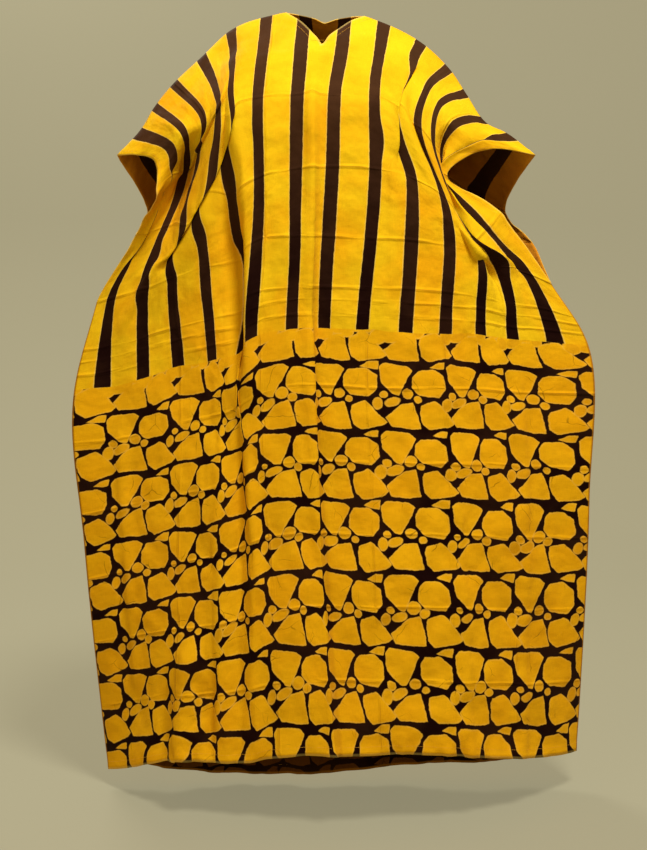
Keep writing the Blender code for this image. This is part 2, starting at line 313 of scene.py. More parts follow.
def fold_height(folds, across, down):
    height = np.zeros(len(across))
    for fold in folds.values():
        along = np.clip((down - fold.start) / (fold.end - fold.start), 0, 1)
        middle = fold.top + (fold.foot - fold.top) * along
        aside = np.clip(np.abs(across - middle) / fold.half_width, 0, 1)
        fade = fade_in(np.minimum(down - fold.start, fold.end - down), FOLD_FADE)
        height += fold.rise * np.cos(aside * math.pi / 2) ** 2 * fade
    return height


def crease_height(creases, across, down):
    height = np.zeros(len(across))
    for crease in creases.values():
        along = np.clip((down - crease.start) / (crease.end - crease.start), 0, 1)
        aside = across - (crease.top + (crease.foot - crease.top) * along)
        width = np.where(aside < 0, crease.left, crease.right)
        flank = np.clip(np.abs(aside) / width, 0, 1)
        fade = fade_in(np.minimum(down - crease.start, crease.end - down), CREASE_FADE)
        height += crease.rise * (1 - flank) ** 2 * (1 + 2 * flank) * fade
    return height


def side_seam(hand, down):
    """Points of the side seam, which runs from the armhole to the hem."""
    seam = [one for one in FRONT_SECTIONS.values() if one.down >= ARMHOLE_DROP]
    column = 0 if hand < 0 else -1
    downs = np.array([one.down for one in seam])
    points = np.array([[values[column] for values in one[1:]] for one in seam])
    return smooth(downs, points, down)


def to_side_seam(points, sections, across, down):
    """Moves the cloth beside a side seam so that its edge lies on the seam."""
    for hand in (-1, 1):
        share = np.clip((hand * across - SEAM_REACH) / (1 - SEAM_REACH), 0, 1)
        near = (share > 0) & (down > ARMHOLE_DROP)
        edge = base_points(sections, np.full(near.sum(), float(hand)), down[near])
        off = side_seam(hand, down[near]) - edge
        points[near] += off * (share[near] ** 2)[:, None]


def lapped(laps, across, down):
    """The places where lapped cloth lies, and how far it stands out there.

    Across a lap the cloth runs on past its line, back under itself, and on again, so
    part of the print is hidden in it.
    """
    moved = np.stack([across * HALF_CUT, down], 1)
    places = moved.copy()
    height = np.zeros(len(across))
    clear_of_edge = fade_in((1 - np.abs(across)) * HALF_CUT, LAP_EDGE)
    for lap in laps.values():
        start = np.array([lap.top * HALF_CUT, lap.start])
        end = np.array([lap.foot * HALF_CUT, lap.end])
        length = np.linalg.norm(end - start)
        along = (end - start) / length
        beside = np.array([along[1], -along[0]])
        run = (places - start) @ along
        phase = np.clip((places - start) @ beside / lap.half_width, -1, 1) * math.pi
        fade = fade_in(np.minimum(run, length - run), LAP_FADE) * clear_of_edge
        moved -= (lap.tuck * lap.half_width * np.sin(phase) * fade)[:, None] * beside
        height -= lap.depth * np.sin(phase) * (1 + np.cos(phase)) / 2 * fade
    return moved[:, 0] / HALF_CUT, moved[:, 1], height


def worn_points(panel, across, down):
    """Points of the panel as it is worn, with its folds pushed along its normal."""
    sections = panel.sections
    lay, low, height = lapped(panel.laps, across, down)
    points = base_points(sections, lay, low)
    nudge = np.where(lay > 0, -SMALL_STEP, SMALL_STEP)
    drop = np.where(low > CUT_LENGTH / 2, -SMALL_STEP, SMALL_STEP)
    beside = base_points(sections, lay + nudge, low) - points
    below = base_points(sections, lay, low + drop) - points
    normal = np.cross(beside * np.sign(nudge)[:, None], below * np.sign(drop)[:, None])
    normal /= np.linalg.norm(normal, axis=1)[:, None]
    height = height + fold_height(panel.folds, lay, low)
    points += panel.out * normal * height[:, None]
    to_side_seam(points, sections, across, down)
    return points


def back_sections():
    """Both panels meet on one shoulder seam, so the back takes all of its columns."""
    knots = np.array(FRONT_ACROSS, float)
    fine = [FRONT_SECTIONS["shoulder seam"]]
    for one in BACK_SECTIONS.values():
        rows = smooth(np.array(BACK_ACROSS, float), np.array(one[1:]).T, knots)
        fine.append(Section(one.down, *rows.T))
    return fine


def panels():
    front_sections = list(FRONT_SECTIONS.values())
    return (
        Panel("front_panel", front_sections, FRONT_FOLDS, FRONT_LAPS, FRONT_NECK_DROP, -1, 0),
        Panel("back_panel", back_sections(), BACK_FOLDS, BACK_LAPS, BACK_NECK_DROP, 1, BACK_DIP),
    )


def neck_edge(drop, down):
    """How far across the cloth the neckline lies, as a share of its half width."""
    left_over = max(0.0, 1 - down / drop)
    return NECK_HALF_WIDTH / HALF_CUT * left_over**NECK_CURVE


def panel_rows(drop):
    return np.concatenate([
        np.linspace(0, drop, NECK_ROWS, endpoint=False),
        np.linspace(drop, ARMHOLE_DROP, CHEST_ROWS, endpoint=False),
        np.linspace(ARMHOLE_DROP, LAPS_END, LAP_ROWS, endpoint=False),
        np.linspace(LAPS_END, CUT_LENGTH, SKIRT_ROWS + 1),
    ])


def panel_columns():
    """Shares of the half width, closer together where the cloth laps."""
    middle = np.linspace(0, LAPS_START, MIDDLE_COLUMNS, endpoint=False)
    return np.concatenate([middle, np.linspace(LAPS_START, 1, SIDE_COLUMNS + 1)])


def panel_grid(panel):
    """The flat panel: places across and down, its faces, and each half's grid of vertices."""
    numbers = {}
    faces = []
    halves = {}
    rows = panel_rows(panel.neck_drop)
    columns = panel_columns()
    for hand in (-1, 1):
        grid = np.empty((len(rows), len(columns)), int)
        for i, down in enumerate(rows):
            inner = neck_edge(panel.neck_drop, down)
            for j, share in enumerate(columns):
                across = hand * (inner + (1 - inner) * share)
                place = (round(float(across), PLACE_DIGITS), round(float(down), PLACE_DIGITS))
                grid[i, j] = numbers.setdefault(place, len(numbers))
        corners = np.stack([grid[:-1, :-1], grid[:-1, 1:], grid[1:, 1:], grid[1:, :-1]], -1)
        corners = corners.reshape(-1, 4)
        faces.append(corners[:, ::-1] if hand * panel.out < 0 else corners)
        halves[hand] = grid
    return np.array(list(numbers)), np.concatenate(faces), halves


def hem_dip(panel, across):
    """How far the hem dips below the sides' length: `dip` in the middle, falling to none at the sides."""
    return panel.dip * (1 - across**4)


def cut_places(panel, across, down):
    """Where the places lie on the flat cut, in metres from the middle and the shoulder."""
    skirt = np.clip((down - BORDER_TOP) / (CUT_LENGTH - BORDER_TOP), 0, 1)
    return np.stack([across * HALF_CUT, down + hem_dip(panel, across) * skirt], 1)


# ---------------------------------------------------------------- settling the cloth

Settling = namedtuple("Settling", "frames quality mass tension shear bending damping air")
SETTLING = Settling(
    frames=30, quality=5, mass=0.00002, tension=15, shear=5, bending=0.05, damping=5, air=1
)
# How firmly the cloth is held where it is worn, from 0 to 1: everywhere, on the chest up
# to a place across and down, and beside the side edges from a place on.
HELD_LIGHTLY = 0.012
HELD_CHEST = 0.05
CHEST_ACROSS, CHEST_ACROSS_FADE = 0.62, 0.3
CHEST_DOWN, CHEST_DOWN_FADE = 0.42, 0.2
HELD_SIDES = 0.25
SIDES_ACROSS, SIDES_ACROSS_FADE = 0.90, 0.10
SIDES_DOWN, SIDES_DOWN_FADE = 0.36, 0.06
HANDS = (0.45, 0.56)
AT_SIDE_EDGE = 0.999
FLAT_GAP = 0.001
MOST_MOVE = 0.03
NO_MOVE = 1e-9


def sewn(grids):
    """The panels' vertices as one list, where the ones on a shared seam are the same."""
    numbers = {}
    shares = []
    for panel_number, (places, _faces, _halves) in enumerate(grids):
        found = []
        for across, down in places:
            on_seam = down == 0 or (abs(across) == 1 and down >= ARMHOLE_DROP - SMALL_STEP)
            name = (across, down) if on_seam else (across, down, panel_number)
            found.append(numbers.setdefault(name, len(numbers)))
        shares.append(np.array(found))
    return shares, len(numbers)


def hold(across, down):
    """How firmly the simulation holds each vertex at its worn place, from 0 to 1."""
    aside = np.abs(across)
    chest = fade_in(CHEST_ACROSS - aside, CHEST_ACROSS_FADE)
    chest *= fade_in(CHEST_DOWN - down, CHEST_DOWN_FADE)
    sides = fade_in(aside - SIDES_ACROSS, SIDES_ACROSS_FADE)
    sides *= fade_in(down - SIDES_DOWN, SIDES_DOWN_FADE)
    held = HELD_LIGHTLY + (HELD_CHEST - HELD_LIGHTLY) * chest + HELD_SIDES * sides
    in_hands = (aside > AT_SIDE_EDGE) & (down > HANDS[0]) & (down < HANDS[1])
    return np.where(in_hands | (down == 0), 1.0, held)


def new_mesh_object(name, points, faces, edges=()):
    mesh = bpy.data.meshes.new(name)
    mesh.from_pydata(np.array(points).tolist(), edges, np.array(faces, int).tolist())
    mesh.update()
    made = bpy.data.objects.new(name, mesh)
    bpy.context.scene.collection.objects.link(made)
    return made


def vertex_places(mesh):
    co = np.empty(len(mesh.vertices) * 3)
    mesh.vertices.foreach_get("co", co)
    return co.reshape(-1, 3)


def settle(points, cut, faces, held):
    """The points after the cloth, cut flat as `cut`, has settled from where it is worn."""
    cloth = new_mesh_object("settling_cloth", points, faces)
    cloth.shape_key_add(name="Worn")
    flat = cloth.shape_key_add(name="Flat cut")
    flat.data.foreach_set("co", cut.ravel())
    pins = cloth.vertex_groups.new(name="held")
    for number, weight in enumerate(held):
        pins.add([number], float(weight), "REPLACE")
    drape = cloth.modifiers.new("drape", "CLOTH")
    drape.collision_settings.use_collision = False
    drape.collision_settings.use_self_collision = False
    cotton = drape.settings
    cotton.quality = SETTLING.quality
    cotton.mass = SETTLING.mass
    cotton.tension_stiffness = cotton.compression_stiffness = SETTLING.tension
    cotton.tension_damping = cotton.compression_damping = SETTLING.damping
    cotton.shear_stiffness = SETTLING.shear
    cotton.shear_damping = SETTLING.damping
    cotton.bending_stiffness = SETTLING.bending
    cotton.air_damping = SETTLING.air
    cotton.vertex_group_mass = pins.name
    cotton.rest_shape_key = flat
    scene = bpy.context.scene
    drape.point_cache.frame_start = 1
    drape.point_cache.frame_end = SETTLING.frames
    for number in range(1, SETTLING.frames + 1):
        scene.frame_set(number)
    graph = bpy.context.evaluated_depsgraph_get()
    settled = vertex_places(cloth.evaluated_get(graph).data)
    scene.frame_set(1)
    mesh = cloth.data
    bpy.data.objects.remove(cloth)
    bpy.data.meshes.remove(mesh)
    move = settled - points
    length = np.linalg.norm(move, axis=1, keepdims=True)
    return points + move * np.minimum(1, MOST_MOVE / np.maximum(length, NO_MOVE))


def settled_panels():
    """Each panel with its grid and its points, after both have settled as one tube."""
    both = panels()
    grids = [panel_grid(panel) for panel in both]
    worn = [worn_points(panel, *grid[0].T) for panel, grid in zip(both, grids)]
    shares, count = sewn(grids)
    points, cut, held = np.zeros((count, 3)), np.zeros((count, 3)), np.zeros(count)
    for panel, grid, own, share in reversed(list(zip(both, grids, worn, shares))):
        across, down = grid[0].T
        on_cut = cut_places(panel, across, down)
        points[share] = own
        level = np.full(len(own), FLAT_GAP * panel.out)
        cut[share] = np.stack([on_cut[:, 0], level, -on_cut[:, 1]], 1)
        held[share] = hold(across, down)
    faces = np.concatenate([share[grid[1]] for grid, share in zip(grids, shares)])
    settled = settle(points, cut, faces, held)
    worn = [settled[share] for share in shares]
    return list(zip(both, grids, worn))


# ---------------------------------------------------------------- the finished panels

HEM_DEPTH = 0.013
HEM_STEP = 0.004
# How near an open edge the painted highlight along a turned edge's fold reaches.
FOLD_REACH = 0.001


def add_cut_map(mesh, places):
    """The UV map "cut": each corner's place on the flat cut, in metres."""
    layer = mesh.uv_layers.new(name="cut")
    corners = np.empty(len(mesh.loops), int)
    mesh.loops.foreach_get("vertex_index", corners)
    layer.uv.foreach_set("vector", places[corners].astype(np.float32).ravel())


def places_on_cut(mesh):
    corners = np.empty(len(mesh.loops), int)
    mesh.loops.foreach_get("vertex_index", corners)
    uv = np.empty(len(mesh.loops) * 2)
    mesh.uv_layers["cut"].uv.foreach_get("vector", uv)
    places = np.zeros((len(mesh.vertices), 2))
    places[corners] = uv.reshape(-1, 2)
    return places


def applied(piece):
    """The piece's mesh with its modifiers applied, put back on it without them."""
    graph = bpy.context.evaluated_depsgraph_get()
    made = bpy.data.meshes.new_from_object(
        piece.evaluated_get(graph), preserve_all_data_layers=True, depsgraph=graph
    )
    old = piece.data
    piece.modifiers.clear()
    piece.data = made
    name = old.name
    bpy.data.meshes.remove(old)
    made.name = name
    return made


def panel_piece(panel, grid, points, sizes, face, reverse):
    """A panel's cloth as one thin closed shell."""
    places, faces, _halves = grid
    across, down = places.T
    name = panel.node + "_cloth"
    piece = new_mesh_object(name, points, faces)
    mesh = piece.data
    mesh.materials.append(face)
    mesh.materials.append(reverse)
    if sum(one.normal.y * one.area for one in mesh.polygons) * panel.out < 0:
        mesh.flip_normals()
    add_cut_map(mesh, cut_places(panel, across, down))
    finer = piece.modifiers.new("finer", "SUBSURF")
    finer.levels = finer.render_levels = 1
    finer.uv_smooth = "NONE"
    finer.boundary_smooth = "PRESERVE_CORNERS"
    mesh = applied(piece)
    raise_creases(panel, mesh)
    thicken_hems(panel, piece, sizes)
    wall = piece.modifiers.new("wall", "SOLIDIFY")
    wall.thickness = sizes.hem_thickness
    wall.offset = 1
    wall.vertex_group = "wall"
    wall.thickness_vertex_group = 0
    wall.use_quality_normals = True
    wall.material_offset = 1
    mesh = applied(piece)
    mesh.shade_smooth()
    return piece


def raise_creases(panel, mesh):
    creases = FRONT_CREASES if panel.out < 0 else BACK_CREASES
    places = places_on_cut(mesh)
    across = places[:, 0] / HALF_CUT
    normals = np.empty(len(mesh.vertices) * 3)
    mesh.vertex_normals.foreach_get("vector", normals)
    points = vertex_places(mesh)
    points += normals.reshape(-1, 3) * crease_height(creases, across, places[:, 1])[:, None]
    points[:, 1] += panel.out * SEAM_GAP / 2
    mesh.vertices.foreach_set("co", points.ravel())
    mesh.update()


def to_open_edge(panel, places):
    """How far each place is from the nearest of the hem, the armholes and the neck."""
    across = np.abs(places[:, 0]) / HALF_CUT
    down = places[:, 1]
    to_hem = CUT_LENGTH + hem_dip(panel, across) - down
    to_armhole = np.where(down < ARMHOLE_DROP, (1 - across) * HALF_CUT, 1.0)
    level = np.array([neck_edge(panel.neck_drop, max(one, 0.0)) for one in down])
    to_neck = np.where(down < panel.neck_drop, (across - level) * HALF_CUT, 1.0)
    return np.minimum(np.minimum(to_hem, to_armhole), to_neck)


def thicken_hems(panel, piece, sizes):
    """Turned edges are thicker, and a point attribute is 1 along their fold, where a highlight is painted.
    """
    distance = to_open_edge(panel, places_on_cut(piece.data))
    # Marks the fold of each turned edge, where a highlight is painted.
    painted_light = piece.data.attributes.new("rubbed_edge", "FLOAT", "POINT")
    painted_light.data.foreach_set("value", (distance < FOLD_REACH).astype(np.float32))
    share = 1 - fade_in(distance - HEM_DEPTH, HEM_STEP)
    thin = sizes.thickness / sizes.hem_thickness
    group = piece.vertex_groups.new(name="wall")
    for number, one in enumerate(share):
        group.add([number], float(thin + (1 - thin) * one), "REPLACE")


# ---------------------------------------------------------------- node helpers

NODE_SPACING = 180
MIX_COLOUR_INPUTS = (0, 6, 7)
MIX_COLOUR_RESULT = 2
HALF = (0.5, 0.5, 0.5)
# Patches where noise, given by its scale, detail and roughness, rises from low to high.
Patches = namedtuple("Patches", "noise low high")


class Graph:
    """Adds nodes to one node tree, each a column further right, and links them."""

    def __init__(self, tree):
        self.tree = tree
        self.column = 0

    def node(self, kind, feeds=None, **settings):
        """A new node with its settings, and its inputs fed from `feeds`."""
        made = self.tree.nodes.new(kind)
        made.location = (self.column * NODE_SPACING, 0)
        self.column += 1
        for name, value in settings.items():
            setattr(made, name, value)
        for name, value in (feeds or {}).items():
            self.feed(made.inputs[name], value)
        return made

    def feed(self, socket, value):
        if isinstance(value, bpy.types.NodeSocket):
            self.tree.links.new(value, socket)
        else:
            socket.default_value = value

    def math(self, operation, *values):
        feeds = dict(enumerate(values))
        return self.node("ShaderNodeMath", feeds, operation=operation).outputs[0]

    def times(self, first, second):
        return self.math("MULTIPLY", first, second)

    def together(self, operation, values, *more):
        """All the values, taken together two at a time."""
        return reduce(lambda one, other: self.math(operation, one, other, *more), values)

    def between(self, share, first, second):
        rise = self.math("SUBTRACT", second, first)
        return self.math("ADD", first, self.times(rise, share))

    def vector(self, operation, *values):
        feeds = dict(enumerate(values))
        made = self.node("ShaderNodeVectorMath", feeds, operation=operation)
        return made.outputs["Value" if operation in {"DOT_PRODUCT", "LENGTH"} else "Vector"]

    def split(self, vector):
        made = self.node("ShaderNodeSeparateXYZ", {0: vector})
        return made.outputs["X"], made.outputs["Y"]

    def combine(self, x, y):
        return self.node("ShaderNodeCombineXYZ", {"X": x, "Y": y}).outputs["Vector"]

    def step(self, value, low, high, to_low=0.0, to_high=1.0):
        """A soft step from `to_low` to `to_high` as the value goes from low to high."""
        feeds = {"Value": value, "From Min": low, "From Max": high, "To Min": to_low, "To Max": to_high}
        made = self.node("ShaderNodeMapRange", feeds, interpolation_type="SMOOTHSTEP")
        return made.outputs["Result"]

    def mix(self, share, first, second):
        feeds = dict(zip(MIX_COLOUR_INPUTS, (share, first, second)))
        made = self.node("ShaderNodeMix", feeds, data_type="RGBA")
        return made.outputs[MIX_COLOUR_RESULT]

    def noise(self, place, scale, detail=2.0, roughness=0.5, colour=False):
        """Noise at one scale, or at one across the cloth and another down it."""
        if isinstance(scale, tuple):
            place, scale = self.vector("MULTIPLY", place, (*scale, 1.0)), 1.0
        feeds = {"Vector": place, "Scale": scale, "Detail": detail, "Roughness": roughness}
        made = self.node("ShaderNodeTexNoise", feeds)
        return made.outputs["Color" if colour else "Fac"]

    def patches(self, place, patches, *levels):
        """A mask of the patches, or a value with these levels outside and inside them."""
        return self.step(self.noise(place, *patches.noise), patches.low, patches.high, *levels)

    def wander(self, place, *noise):
        """A vector of noise around zero."""
        return self.vector("SUBTRACT", self.noise(place, *noise, colour=True), HALF)

    def shifted(self, place, way, reach):
        """The place moved along the vector `way`, by up to `reach` across and down."""
        return self.vector("ADD", place, self.vector("MULTIPLY", way, (reach, reach, 0)))

    def group(self, tree, place):
        return self.node("ShaderNodeGroup", {"Place": place}, node_tree=tree).outputs

    def put_out(self, **values):
        """The finished tree, which puts out the values under their names."""
        feeds = {name.replace("_", " "): value for name, value in values.items()}
        self.node("NodeGroupOutput", feeds)
        return self.tree


def new_group(name, outputs, **sizes):
    """The graph and the inputs of a new shader node group that reads a place on the cut."""
    tree = bpy.data.node_groups.new(name, "ShaderNodeTree")
    tree.interface.new_socket("Place", in_out="INPUT", socket_type="NodeSocketVector")
    for label, value in sizes.items():
        socket = tree.interface.new_socket(label, in_out="INPUT", socket_type="NodeSocketFloat")
        socket.default_value = value
    for label in outputs:
        tree.interface.new_socket(label, in_out="OUTPUT", socket_type="NodeSocketFloat")
    graph = Graph(tree)
    return graph, graph.node("NodeGroupInput").outputs


def new_material(name):
    """A new material with its graph and its shader."""
    material = bpy.data.materials.new(name)
    material.use_nodes = True
    return material, Graph(material.node_tree), material.node_tree.nodes["Principled BSDF"]


# ---------------------------------------------------------------- the print

# The border repeats one tile of stones, drawn here in millimetres, x to the right and
# y down. A stone is given by its corners, in order round it, and a pebble by its middle,
# half sizes and turn in degrees.
TILE = Vector((0.128, 0.1265, 0))
MM = 0.001
CORNER_ROUNDING = 0.0035
Stone = namedtuple("Stone", "middle corners")
Pebble = namedtuple("Pebble", "middle half turn")
STONES = {
    "wedge": Stone((92, 33), ((61, 14), (69, 6), (113, 9), (124, 17), (97, 66), (87, 64), (64, 40))),
    "block": Stone(
        (25, 42), ((-4, 30), (6, 18), (36, 17), (54, 30), (56, 54), (44, 68), (8, 64), (-5, 50))),
    "almond": Stone((46, 10), ((29, 12), (44, 4), (58, 4), (56, 17), (44, 16))),
    "rising": Stone(
        (103, 104), ((70, 107), (99, 81), (124, 77), (130, 96), (136, 125), (118, 127), (80, 123))),
    "falling": Stone(
        (40, 103), ((8, 95), (11, 83), (37, 76), (46, 82), (74, 116), (66, 122), (25, 128), (12, 117))),
}
PEBBLES = {
    "under the wedge": Pebble((114, 62), (11, 9.5), 0),
    "small": Pebble((133, 72), (7.5, 6.5), 0),
    "tall": Pebble((60, 82), (9, 11.5), 15),
    "sliver": Pebble((70, 65), (7, 6), 20),
    "oval": Pebble((85, 78), (15, 8), -18),
}


def repeated(graph, place, middle):
    """The place moved by whole tiles to where it is nearest to `middle`, with z = 1."""
    low = Vector((middle[0] * MM, middle[1] * MM, 1)) - Vector((TILE.x / 2, TILE.y / 2, 1))
    high = low + Vector((TILE.x, TILE.y, 2))
    return graph.vector("WRAP", place, high, low)


def outside_stone(graph, place, stone):
    """How far the place is outside the stone, in metres, or below 0 inside it."""
    here = repeated(graph, place, stone.middle)
    sides = []
    for start, end in zip(stone.corners, stone.corners[1:] + stone.corners[:1]):
        start, end = Vector(start) * MM, Vector(end) * MM
        along = (end - start).normalized()
        outwards = Vector((along.y, -along.x, 0))
        outwards.z = -(outwards.x * start.x + outwards.y * start.y)
        sides.append(graph.vector("DOT_PRODUCT", here, outwards))
    return graph.together("SMOOTH_MAX", sides, CORNER_ROUNDING)


def outside_pebble(graph, place, pebble):
    middle = (pebble.middle[0] * MM, pebble.middle[1] * MM, 1)
    here = graph.vector("SUBTRACT", repeated(graph, place, pebble.middle), middle)
    turn = math.radians(pebble.turn)
    size = min(pebble.half) * MM
    axes = ((math.cos(turn), math.sin(turn)), (-math.sin(turn), math.cos(turn)))
    squares = []
    for (x, y), half in zip(axes, pebble.half):
        part = graph.vector("DOT_PRODUCT", here, (x / (half * MM), y / (half * MM), 0))
        squares.append(graph.times(part, part))
    reach = graph.math("SQRT", graph.math("ADD", *squares))
    return graph.math("MULTIPLY_ADD", reach, size, -size)


def stone_repeat():
    """How far outside the nearest stone or pebble a place is, and outside a pebble."""
    graph, inlet = new_group("Stone Repeat", ("Distance", "Pebbles"))
    stones = [outside_stone(graph, inlet["Place"], stone) for stone in STONES.values()]
    pebbles = [outside_pebble(graph, inlet["Place"], pebble) for pebble in PEBBLES.values()]
    return graph.put_out(Distance=graph.together("MINIMUM", stones + pebbles),
                         Pebbles=graph.together("MINIMUM", pebbles))


STRIPE_PITCH = 0.0776
STRIPE_WIDTH = 0.0255
STRIPES_REACH = 7 * STRIPE_PITCH
BEAD_DOWN = 0.652
BEAD_RADIUS = 0.0075
TILE_START = Vector((0.0435, 0.0708, 1))
TILE_STRETCH = 1.037
TILE_SHRINK = 0.1425
MERGED_ROW = 0.036
MERGED_BY = 0.005
# How far the outlines of the stones and stripes wander, and the noise that moves them.
STONES_WIDE, STONES_FINE = 0.018, 0.0045
STRIPES_SWAY, STRIPES_FINE = 0.010, 0.0022
WIDE_NOISE = (9.0, 1.0)
FINE_NOISE = (85.0, 3.0, 0.6)
SWAY_NOISE = ((14.0, 3.0), 1.0)
SMALLER_STONES = Patches((11.0, 1.0), 0.3, 0.7)
STONES_GROWTH = (-0.0018, 0.0007)
DULL_PEBBLES = Patches((7.0, 0.0), 0.50, 0.56)
PEBBLE_EDGE = (0.001, -0.001)
STONE_EDGE = (-0.0008, 0.0008)
STRIPE_EDGE = (0.0007, -0.0007)
BORDER_EDGE = 0.0007
STONE_RIM = (-0.0030, -0.0012)
STRIPE_RIM = (0.0022, 0.0008)
SEAM_LINE = (0.0032, 0.0014)
SEAM_TOP = (-0.005, 0.005)


def cotton_print(stones):
    """Where the dark dye is on the flat cut: stripes above, a border of stones below."""
    graph, inlet = new_group(
        "Stripe And Stone Print", ("Ink", "Halo", "Dull", "Border", "Side Seam"))
    place = inlet["Place"]
    wide = graph.wander(place, *WIDE_NOISE)
    fine = graph.wander(place, *FINE_NOISE)
    drawn = graph.shifted(graph.shifted(place, wide, STONES_WIDE), fine, STONES_FINE)
    across, down = graph.split(graph.vector("SUBTRACT", drawn, (0, BORDER_TOP, 0)))
    shrink = graph.math("MULTIPLY_ADD", down, -TILE_SHRINK, 1.0)
    rows = graph.times(graph.times(down, shrink), TILE_STRETCH)
    on_tile = graph.vector("ADD", graph.combine(across, rows), TILE_START)
    repeat = graph.group(stones, on_tile)
    grown = graph.patches(place, SMALLER_STONES, *STONES_GROWTH)
    stone = graph.math("ADD", repeat["Distance"], grown)
    some = graph.patches(place, DULL_PEBBLES)
    dull = graph.times(graph.step(repeat["Pebbles"], *PEBBLE_EDGE), some)

    sway = graph.wander(place, *SWAY_NOISE)
    drawn = graph.shifted(graph.shifted(place, fine, STRIPES_FINE), sway, STRIPES_SWAY)
    across, down = graph.split(drawn)
    off_middle = graph.math("PINGPONG", across, STRIPE_PITCH / 2)
    off_line = graph.math("SUBTRACT", STRIPE_PITCH / 2, off_middle)
    to_bead = graph.combine(off_line, graph.math("SUBTRACT", down, BEAD_DOWN))
    bead = graph.math("SUBTRACT", graph.vector("LENGTH", to_bead), BEAD_RADIUS)
    off_stripe = graph.math("SUBTRACT", off_line, STRIPE_WIDTH / 2)
    beyond = graph.math("SUBTRACT", graph.math("ABSOLUTE", across), STRIPES_REACH)
    off_stripe = graph.math("MAXIMUM", off_stripe, beyond)

    border = graph.step(down, BORDER_TOP - BORDER_EDGE, BORDER_TOP + BORDER_EDGE)
    merged = graph.step(down, BORDER_TOP, BORDER_TOP + MERGED_ROW, -MERGED_BY, 0.0)
    off_stone = graph.math("ADD", graph.math("MINIMUM", stone, bead), merged)
    ink = graph.between(
        border, graph.step(off_stripe, *STRIPE_EDGE), graph.step(off_stone, *STONE_EDGE))
    halo = graph.between(
        border, graph.step(off_stripe, *STRIPE_RIM), graph.step(off_stone, *STONE_RIM))

    across, down = graph.split(place)
    across = graph.math("ABSOLUTE", across)
    beside = graph.step(across, *(HALF_CUT - one for one in SEAM_LINE))
    sewn_down = graph.step(down, *(ARMHOLE_DROP + one for one in SEAM_TOP))
    return graph.put_out(Ink=ink, Halo=halo, Dull=graph.times(dull, border), Border=border,
                         Side_Seam=graph.times(beside, sewn_down))


TONE_NOISE = (6.0, 4.0, 0.55)
CRACKLE_BEND_NOISE = (22.0, 3.0)
CRACKLE_BEND = 0.03
CRACKLE_SCALE = 13.0
CRACKLE_LINE = (0.010, 0.002)
CRACKLED = Patches((17.0, 2.0), 0.52, 0.66)
# How much of the crackle shows above the border and on it, and how far these blend.
CRACKLE_LEVELS = (0.10, 0.9)
CRACKLE_BLEND = 0.05
SMUDGES = Patches((38.0, 3.0, 0.6), 0.62, 0.78)
SMUDGED = Patches((4.0, 1.0), 0.45, 0.65)


def dye_variation():
    """Slow changes of the dye, thin crackle lines where wax broke, and small smudges."""
    graph, inlet = new_group("Dye Variation", ("Tone", "Crackle", "Smudge"))
    place = inlet["Place"]
    tone = graph.noise(place, *TONE_NOISE)
    bend = graph.noise(place, *CRACKLE_BEND_NOISE, colour=True)
    feeds = {"Vector": graph.shifted(place, bend, CRACKLE_BEND), "Scale": CRACKLE_SCALE}
    cells = graph.node("ShaderNodeTexVoronoi", feeds, feature="DISTANCE_TO_EDGE")
    line = graph.step(cells.outputs["Distance"], *CRACKLE_LINE)
    here = graph.patches(place, CRACKLED)
    blend = (BORDER_TOP - CRACKLE_BLEND, BORDER_TOP + CRACKLE_BLEND)
    often = graph.step(graph.split(place)[1], *blend, *CRACKLE_LEVELS)
    smudge = graph.times(graph.patches(place, SMUDGES), graph.patches(place, SMUDGED))
    return graph.put_out(
        Tone=tone, Crackle=graph.times(graph.times(line, here), often), Smudge=smudge)


THREADS = 2200.0
ALONG_A_THREAD, ACROSS_THREADS = 60.0, 900.0


def plain_weave():
    """Height of a plain weave, and the slubs of its uneven threads."""
    graph, inlet = new_group("Plain Weave", ("Height", "Slub"), Threads=THREADS)
    place = inlet["Place"]
    threads = graph.split(graph.vector("MULTIPLY", place, inlet["Threads"]))
    waves = [graph.math("SINE", graph.times(one, math.pi)) for one in threads]
    weft = graph.noise(place, (ALONG_A_THREAD, ACROSS_THREADS), 2.0)
    warp = graph.noise(place, (ACROSS_THREADS, ALONG_A_THREAD), 2.0)
    slub = graph.math("MULTIPLY_ADD", weft, 0.5, graph.times(warp, 0.5))
    return graph.put_out(Height=graph.times(*waves), Slub=slub)


CRUMPLE_BEND_NOISE = (6.0, 2.0)
CRUMPLE_BEND = 0.10
CRUMPLE_STRETCH = (11.0, 6.0, 1.0)
CRUMPLE_SOFT_NOISE = (14.0, 3.0)
RIDGES_SHARE = 0.5
SOFT_SHARE = 0.7


def cotton_crumple():
    """Height of the soft crumples that worn cotton keeps."""
    graph, inlet = new_group("Cotton Crumple", ("Height",))
    place = inlet["Place"]
    bend = graph.noise(place, *CRUMPLE_BEND_NOISE, colour=True)
    bent = graph.shifted(place, bend, CRUMPLE_BEND)
    feeds = {"Vector": graph.vector("MULTIPLY", bent, CRUMPLE_STRETCH), "Scale": 1.0}
    ridges = graph.node("ShaderNodeTexVoronoi", feeds, feature="SMOOTH_F1").outputs["Distance"]
    soft = graph.times(graph.noise(place, *CRUMPLE_SOFT_NOISE), SOFT_SHARE)
    return graph.put_out(Height=graph.math("MULTIPLY_ADD", ridges, RIDGES_SHARE, soft))


